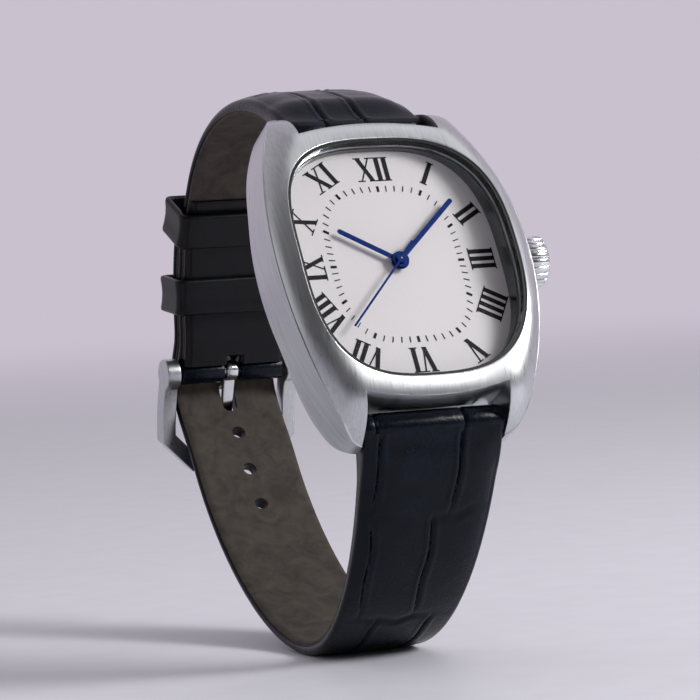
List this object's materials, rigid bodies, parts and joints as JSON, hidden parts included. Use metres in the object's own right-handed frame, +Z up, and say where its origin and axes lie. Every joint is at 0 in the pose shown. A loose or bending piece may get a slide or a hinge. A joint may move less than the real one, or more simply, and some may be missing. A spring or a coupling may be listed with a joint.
{
  "type": "wristwatch",
  "caption": "Quartz wristwatch with a brushed cushion case, white dial with Roman numerals and a black embossed leather strap buckled into a loop",
  "frame": {"origin": "on the surface that the buckled strap stands on, at the middle of the strap's flat spot and in the middle of its width", "axes": "+Z up, +X towards the crown at 3 o'clock, +Y from the dial towards the buckle"},
  "size_m": [0.0397, 0.0788, 0.0765],
  "materials": {
    "steel_case": "satin brushed",
    "steel_polished": "polished",
    "glass_crystal": "flat polished mineral glass",
    "rubber_seal": "matt",
    "ring_steel": "polished grey",
    "dial_paint": "silvery white lacquer",
    "print_black": "printed ink",
    "hand_blue": "deep blue lacquer",
    "brass_movement": "bare",
    "plastic_holder": "moulded",
    "board_green": "lacquered board",
    "copper_wire": "enamelled winding",
    "leather_black": "embossed black, semi-gloss",
    "leather_lining": "brown-grey smooth lining"
  },
  "bodies": {
    "watch": {"case_body": "steel_case", "crystal": "glass_crystal", "crystal_gasket": "rubber_seal", "inner_ring": "ring_steel", "dial": "dial_paint", "dial_numerals": "print_black", "minute_track": "print_black", "movement_holder": "plastic_holder", "main_plate": "brass_movement", "train_cover": "steel_polished", "coil": "copper_wire", "stator": "steel_polished", "circuit_board": "board_green", "battery": "steel_polished", "battery_clamp": "steel_polished", "crown_tube": "steel_polished", "case_back": "steel_case", "case_back_gasket": "rubber_seal", "case_back_screws": "steel_polished", "lug_spring_bars": "steel_polished", "buckle_spring_bar": "steel_polished", "strap_upper": "leather_black", "strap_upper_lining": "leather_lining", "strap_lower": "leather_black", "strap_lower_lining": "leather_lining", "strap_foldback": "leather_black", "fixed_keeper": "leather_black"},
    "hour": {"hour_hand": "hand_blue", "hour_wheel": "brass_movement"},
    "minute": {"minute_hand": "hand_blue", "cannon_pinion": "brass_movement"},
    "second": {"second_hand": "hand_blue", "second_arbor": "steel_polished"},
    "step_rotor": {"rotor": "steel_polished"},
    "setting": {"setting_lever": "steel_polished"},
    "winding": {"crown": "steel_polished", "stem": "steel_polished", "crown_gasket": "rubber_seal"},
    "keeper": {"free_keeper": "leather_black"},
    "buckle": {"buckle_frame": "steel_case"},
    "tang": {"buckle_tang": "steel_polished"}
  },
  "joints": [
    {"name": "second_turn", "type": "hinge", "parent": "watch", "child": "second", "pos_m": [0, -0.0205, 0.0526], "axis": [0, 0.8809, -0.4733], "continuous": true},
    {"name": "minute_turn", "type": "hinge", "parent": "watch", "child": "minute", "pos_m": [0, -0.0205, 0.0526], "axis": [0, 0.8809, -0.4733], "continuous": true},
    {"name": "hour_turn", "type": "hinge", "parent": "watch", "child": "hour", "pos_m": [0, -0.0205, 0.0526], "axis": [0, 0.8809, -0.4733], "continuous": true},
    {"name": "rotor_turn", "type": "hinge", "parent": "watch", "child": "step_rotor", "pos_m": [0.0046, -0.01842, 0.05648], "axis": [0, 0.8809, -0.4733], "continuous": true},
    {"name": "crown_pull", "type": "slide", "parent": "watch", "child": "setting", "axis": [1, 0, 0], "range_m": [0, 0.0009]},
    {"name": "crown_turn", "type": "hinge", "parent": "setting", "child": "winding", "pos_m": [0, -0.01883, 0.0517], "axis": [1, 0, 0], "continuous": true},
    {"name": "keeper_slide", "type": "slide", "parent": "watch", "child": "keeper", "axis": [0, 0.4092, -0.9124], "range_m": [-0.0015, 0.0015]},
    {"name": "buckle_swing", "type": "hinge", "parent": "watch", "child": "buckle", "pos_m": [0, 0.0418, 0.0374], "axis": [1, 0, 0], "range_deg": [0, 4]},
    {"name": "tang_swing", "type": "hinge", "parent": "buckle", "child": "tang", "pos_m": [0, 0.0418, 0.0374], "axis": [1, 0, 0], "range_deg": [0, 4]}
  ],
  "couplings": [
    {"joint": "minute_turn", "follows": "second_turn", "ratio": 0.016667},
    {"joint": "hour_turn", "follows": "second_turn", "ratio": 0.0013889},
    {"joint": "rotor_turn", "follows": "second_turn", "ratio": -30}
  ]
}
